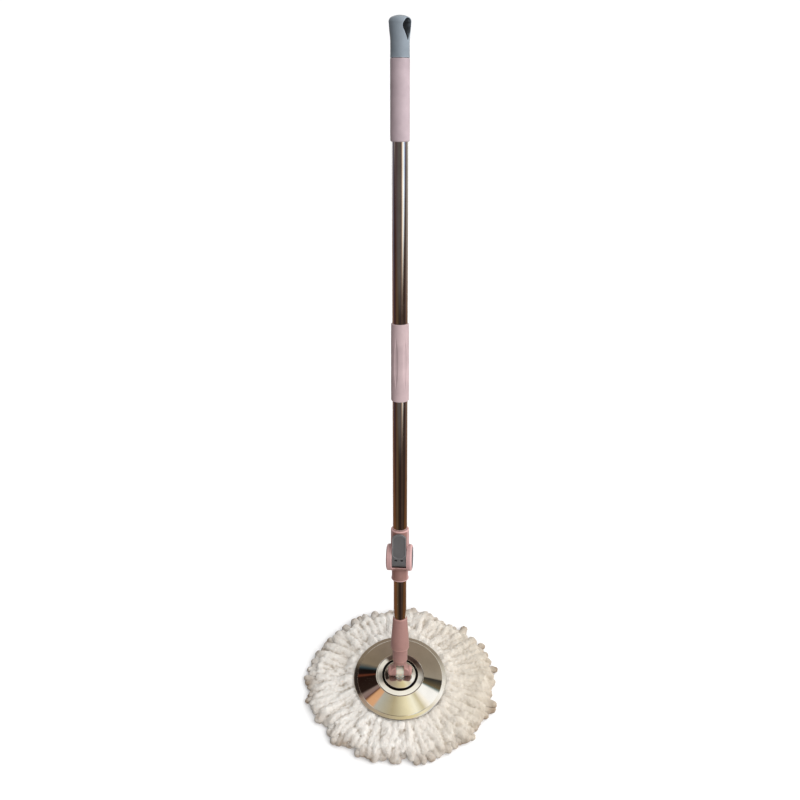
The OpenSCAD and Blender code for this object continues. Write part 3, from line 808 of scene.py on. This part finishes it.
def strand_tube(points, half, rng):
    """One strand as a plain swept oval whose thickness wavers, with a blunt end."""
    line = along_curve(points, RINGS)
    forward = np.gradient(line, axis=0)
    forward /= np.linalg.norm(forward, axis=1, keepdims=True)
    across = np.cross((0, 0, 1), forward)
    across /= np.linalg.norm(across, axis=1, keepdims=True)
    up = np.cross(forward, across)
    share = np.linspace(0, 1, RINGS)
    phase, pace = rng.uniform(0, 6.28), rng.uniform(9, 16)
    waver = 1 + 0.1 * np.sin(pace * share + phase) + rng.normal(0, 0.035, RINGS)
    blunt = np.sqrt(np.clip(1 - np.clip((share - 0.93) / 0.07, 0, 1) ** 2, 0.05, 1))
    radius = np.interp(share, np.linspace(0, 1, LINKS), half) * waver * blunt
    angle = np.linspace(0, 2 * math.pi, ROUND, endpoint=False)
    ring = (across[:, None] * np.cos(angle)[None, :, None] * 1.1
            + up[:, None] * np.sin(angle)[None, :, None] * 0.95)
    vertices = (line[:, None] + ring * radius[:, None, None]).reshape(-1, 3)
    faces = []
    for i in range(RINGS - 1):
        for k in range(ROUND):
            j = (k + 1) % ROUND
            faces.append((i * ROUND + k, i * ROUND + j, (i + 1) * ROUND + j, (i + 1) * ROUND + k))
    faces.append(tuple(range(ROUND - 1, -1, -1)))
    faces.append(tuple(range((RINGS - 1) * ROUND, RINGS * ROUND)))
    return vertices, faces


CREST_PASSES = 10
LOOP_RISE = 1.7 * MM
LUMP_RISE = 1.8 * MM


def fluff(mesh, high, offset):
    """Raises small loops and lumps on the pile, and notes which points stand out and where soil and painted
    shade go, at the tips and near the floor.
    """
    points, normals, edges = mesh_arrays(mesh)
    count = len(points)
    smooth = points
    for _ in range(CREST_PASSES):
        smooth = neighbour_mean(smooth, edges)
    stand = ((points - smooth) * normals).sum(1)
    radius = np.hypot(points[:, 0], points[:, 1])
    turn = np.arctan2(points[:, 1], points[:, 0])
    # loops are longer along a strand than across it
    spots = np.stack([radius * 190, turn * 120 * MM * 330, points[:, 2] * 330], 1)
    loops, lumps = np.empty(count), np.empty(count)
    for i in range(count):
        spot = Vector(spots[i]) + offset
        loops[i] = 0.5 - noise.voronoi(spot, distance_metric="DISTANCE")[0][0]
        lumps[i] = noise.noise(spot * 0.33)
    rise = LOOP_RISE * loops + LUMP_RISE * lumps
    # crest: high where points stand out, low between loops and lumps, where the pile gets painted shade
    crest = 0.62 + 0.5 * loops + 0.25 * lumps + stand / (1.1 * MM) * 0.35
    edge = outline(turn, high)
    at_tip = np.clip((radius / edge - 0.88) / 0.14, 0, 1)
    near_floor = np.clip((10 * MM - points[:, 2]) / (8 * MM), 0, 1)
    points = points + normals * rise[:, None]
    points[:, 2] = np.maximum(points[:, 2], 0.2 * MM)
    mesh.vertices.foreach_set("co", points.ravel())
    mesh.update()
    add_values(mesh, "crest", crest)
    # soil and painted shade at the tips and near the floor
    add_values(mesh, "soil_and_shade", 0.8 * at_tip + 0.8 * near_floor)


# size of the voxels that each pile is fused with
PILE_VOXELS = {"fringe_lower": 1.8 * MM, "fringe_upper": 1.46 * MM}


STRAND_SEED = 7


def build_fringe(materials):
    """Two pieces: the strands of each are laid by relaxation, fused into one pile and fluffed."""
    rng = np.random.default_rng(STRAND_SEED)
    low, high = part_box("fringe")
    place, half = first_lay(rng, high)
    place = settle(place, half, low, high)
    owners = [row["piece"] for row in ROWS for _ in range(row["strands"])]
    for number, (name, voxel) in enumerate(PILE_VOXELS.items()):
        vertices, faces = [], []
        for i in range(len(owners)):
            if owners[i] == name:
                points, sides = strand_tube(place[i], half[i], rng)
                faces += [tuple(v + len(vertices) for v in side) for side in sides]
                vertices += list(points)
        mesh = bpy.data.meshes.new(name)
        mesh.from_pydata(vertices, [], faces)
        pile = remeshed(name, mesh, voxel, 2)
        fluff(pile.data, high, Vector((number * 17.0, 3.0, 5.0)))
        dress(pile, materials["pile"], "refill", ["fringe"])


# ---- floor, lights and the room that the chrome shows ----

# The room is not invented. The photo's colours were read by direction round the plate and across the tubes,
# and the stops of the five ramps below were typed from those readings and then adjusted. The light
# strip of HORIZON_HIGH, 86 to 108 degrees, is not from the photo.

# round the ceiling patch that the plate's cone mirrors: turn in degrees from +X towards the back, colour
CEILING = [
    (0, "3c3733"), (2, "9c9385"), (20, "94897a"), (60, "8c7f70"), (100, "84766a"), (148, "857866"),
    (156, "3c4a50"), (160, "15110f"), (168, "1c1210"), (171, "6a3a2a"), (174, "20130f"), (201, "2a1e19"),
    (205, "8f7c76"), (211, "8c7470"), (213, "54342e"), (217, "d9a67c"), (228, "dba981"), (232, "b4b4ac"),
    (258, "b8ac8c"), (282, "efe6c4"), (294, "fffbe6"), (305, "d0c6a6"), (314, "fffaf0"), (320, "ffffff"),
    (338, "ffffff"), (342, "6a7c78"), (345, "6a5c44"), (353, "4c463a"), (358, "383632"),
]
# the same round the middle of that patch, which the flange and the boss mirror
FLANGE = [
    (0, "dcdad6"), (15, "c4bfb4"), (40, "9a8f80"), (100, "84766a"), (150, "807464"), (165, "2c2622"),
    (200, "2c2320"), (208, "a08c80"), (250, "b8ab92"), (285, "e4d6a8"), (300, "f0e8c8"), (315, "e0d8c4"),
    (325, "f4f0e8"), (340, "ffffff"), (352, "f0ece4"),
]
# the same a little further out, which the ridge round the groove mirrors
RIDGE = [
    (0, "453a36"), (25, "6a5a50"), (50, "3a2c28"), (75, "4c3c36"), (100, "44342e"), (118, "5a4c44"),
    (126, "f0ece4"), (200, "f6f2ea"), (260, "fbf8f0"), (320, "fffdf6"), (331, "f0ece4"), (340, "54463e"),
    (352, "342824"),
]
# round the horizon, from behind the camera by way of the left: turn in degrees, colour low and high
HORIZON_LOW = [
    (0, "2a1f1a"), (12, "2c231a"), (25, "453524"), (42, "574634"), (58, "442e22"), (78, "362324"),
    (92, "3a3038"), (104, "564f58"), (111, "6c6874"), (122, "94949a"), (138, "c4c6ca"), (160, "f2eee6"),
    (205, "f2eee8"), (220, "b0aca6"), (240, "9a948c"), (254, "80776e"), (268, "5a4a46"), (280, "44342f"),
    (296, "30211e"), (318, "3a2f26"), (335, "46342c"), (349, "2a1d1a"), (360, "2a1f1a"),
]
HORIZON_HIGH = [
    (0, "524c48"), (12, "544f4a"), (29, "524c48"), (47, "4e4242"), (62, "4a3a38"), (76, "5a4c48"),
    (86, "b8b0a8"), (97, "f0ece6"), (108, "a09488"), (120, "5c4c44"), (136, "483a34"), (150, "6c5c52"),
    (158, "d8d0c8"), (166, "f4f0ea"), (210, "f6f2ec"), (266, "f4f0ea"), (273, "8c8280"), (280, "5a5074"),
    (288, "8a9ab8"), (296, "c4d4ec"), (303, "f0f8ff"), (314, "fffff8"), (322, "f8ead4"), (329, "c4a488"),
    (336, "806c60"), (344, "4c4240"), (360, "524c48"),
]
WARM_FLOOR = "6a4424"
CEILING_MIDDLE = "d8cdae"


def turned_ramp(tree, turn, stops):
    """Colour by direction round the room, with stops of (degrees, colour code)."""
    return ramp(tree, turn, [(degrees / 360, srgb(colour)) for degrees, colour in stops])


CEILING_TILT = math.radians(60)
# plain light that diffuse surfaces get: its level straight across, and how it grows along a direction
LIGHT_LEVEL = 0.8
LIGHT_SLOPE = (1.0, -0.12, 0.42)
LIGHT_COLOUR = (1.0, 0.985, 0.965, 1)
ROOM_STRENGTH = 1.25
WHITE = (1, 1, 1, 1)


def add_room():
    """Plain pale light, stronger from above and the right; glossy ones see the ramps read from the photo."""
    world = bpy.data.worlds.new("room")
    bpy.context.scene.world = world
    world.use_nodes = True
    tree = world.node_tree
    tree.nodes.clear()
    direction = add_node(tree, "ShaderNodeTexCoord").outputs["Generated"]
    height = dot(tree, direction, (0, 0, 1))
    turn = maths(tree, "ARCTAN2", dot(tree, direction, (-1, 0, 0)), dot(tree, direction, (0, -1, 0)))
    turn = maths(tree, "FRACT", maths(tree, "ADD", maths(tree, "DIVIDE", turn, 2 * math.pi), 1.0))
    sides = blend_colours(tree, smooth_step(tree, height, -0.04, 0.14),
                          turned_ramp(tree, turn, HORIZON_LOW), turned_ramp(tree, turn, HORIZON_HIGH))
    warm = maths(tree, "MULTIPLY", smooth_step(tree, height, -0.35, -0.46), 0.75)
    sides = blend_colours(tree, warm, sides, srgb(WARM_FLOOR))
    rise, run = math.sin(CEILING_TILT), math.cos(CEILING_TILT)
    near_centre = dot(tree, direction, (0, run, rise))
    spin = maths(tree, "ARCTAN2", dot(tree, direction, (0, rise, -run)), dot(tree, direction, (1, 0, 0)))
    spin = maths(tree, "FRACT", maths(tree, "ADD", maths(tree, "DIVIDE", spin, 2 * math.pi), 1.0))
    overhead = blend_colours(tree, smooth_step(tree, near_centre, 0.935, 0.945),
                             turned_ramp(tree, spin, CEILING), turned_ramp(tree, spin, RIDGE))
    overhead = blend_colours(tree, smooth_step(tree, near_centre, 0.9665, 0.971),
                             overhead, turned_ramp(tree, spin, FLANGE))
    overhead = blend_colours(tree, smooth_step(tree, near_centre, 0.9965, 0.999), overhead,
                             srgb(CEILING_MIDDLE))
    room = blend_colours(tree, smooth_step(tree, near_centre, 0.85, 0.88), sides, overhead)
    rays = add_node(tree, "ShaderNodeLightPath")
    slope = maths(tree, "MAXIMUM", maths(tree, "ADD", dot(tree, direction, LIGHT_SLOPE), LIGHT_LEVEL), 0.0)
    soft = add_node(tree, "ShaderNodeBackground", {"Color": LIGHT_COLOUR, "Strength": slope})
    plain = add_node(tree, "ShaderNodeBackground", {"Color": WHITE, "Strength": 1.0})
    seen = add_node(tree, "ShaderNodeBackground", {"Color": room, "Strength": ROOM_STRENGTH})
    lit = add_node(tree, "ShaderNodeMixShader",
                   {0: rays.outputs["Is Camera Ray"], 1: soft.outputs[0], 2: plain.outputs[0]})
    mix = add_node(tree, "ShaderNodeMixShader",
                   {0: rays.outputs["Is Glossy Ray"], 1: lit.outputs[0], 2: seen.outputs[0]})
    output = add_node(tree, "ShaderNodeOutputWorld")
    tree.links.new(mix.outputs[0], output.inputs["Surface"])


WARM_LAMP = (1.0, 0.98, 0.95)
COOL_LAMP = (0.97, 0.98, 1.0)
# name, place, target, size in metres, watts, colour
LAMPS = [
    ("soft_top", (0.8, -0.7, 2.2), (0, 0, 0.1), 1.6, 4.3, WARM_LAMP),
    ("soft_low", (-0.7, -0.6, 0.35), (0, 0, 0.04), 0.6, 1.3, WARM_LAMP),
    ("soft_side", (1.6, -0.6, 1.6), (0, 0.1, 0.4), 1.4, 6, COOL_LAMP),
]


def add_light(name, place, target, size, power, colour):
    """A soft round lamp that glossy surfaces do not show."""
    data = bpy.data.lights.new(name, "AREA")
    data.shape = "DISK"
    data.size = size
    data.energy = power
    data.color = colour
    light = bpy.data.objects.new(name, data)
    light.location = place
    light.rotation_euler = (Vector(target) - Vector(place)).to_track_quat("-Z", "Y").to_euler()
    light.visible_glossy = False
    bpy.context.scene.collection.objects.link(light)


def add_floor():
    """Plain pale floor; hidden from glossy and diffuse rays, so that it lights nothing."""
    half = 12
    corners = [(-half, -half, 0), (half, -half, 0), (half, half, 0), (-half, half, 0)]
    mesh = bpy.data.meshes.new("floor")
    mesh.from_pydata(corners, [], [(0, 1, 2, 3)])
    floor = bpy.data.objects.new("floor", mesh)
    material, tree, shader = new_material("pale_floor", Roughness=0.9)
    shader.inputs["Specular IOR Level"].default_value = 0.1
    paper = grain(tree, stretched(tree), 120, 3)
    tree.links.new(ramp(tree, paper, [(0.3, (0.95, 0.96, 0.98, 1)), (0.7, (0.97, 0.98, 1.0, 1))]),
                   shader.inputs["Base Color"])
    mesh.materials.append(material)
    floor.visible_glossy = False
    floor.visible_diffuse = False
    bpy.context.scene.collection.objects.link(floor)


def build():
    """Sets the stage, then builds the plate, the pole with its grips and moulded parts, and the fringe."""
    add_camera()
    add_room()
    add_floor()
    for lamp in LAMPS:
        add_light(*lamp)
    bpy.context.scene.view_settings.view_transform = "Standard"
    materials = make_materials()
    build_plate(materials)
    build_tube("lower_tube_shell", "lower_tube", materials["tube"], "shaft")
    build_tube("middle_tube_shell", "mid_tube", materials["tube"], "pole")
    build_tube("upper_tube_shell", "upper_tube", materials["tube"], "pole")
    build_mid_grip(materials)
    build_top_grip(materials)
    build_moulded_parts(materials)
    build_fringe(materials)
    dress_cad_nodes(materials)


build()
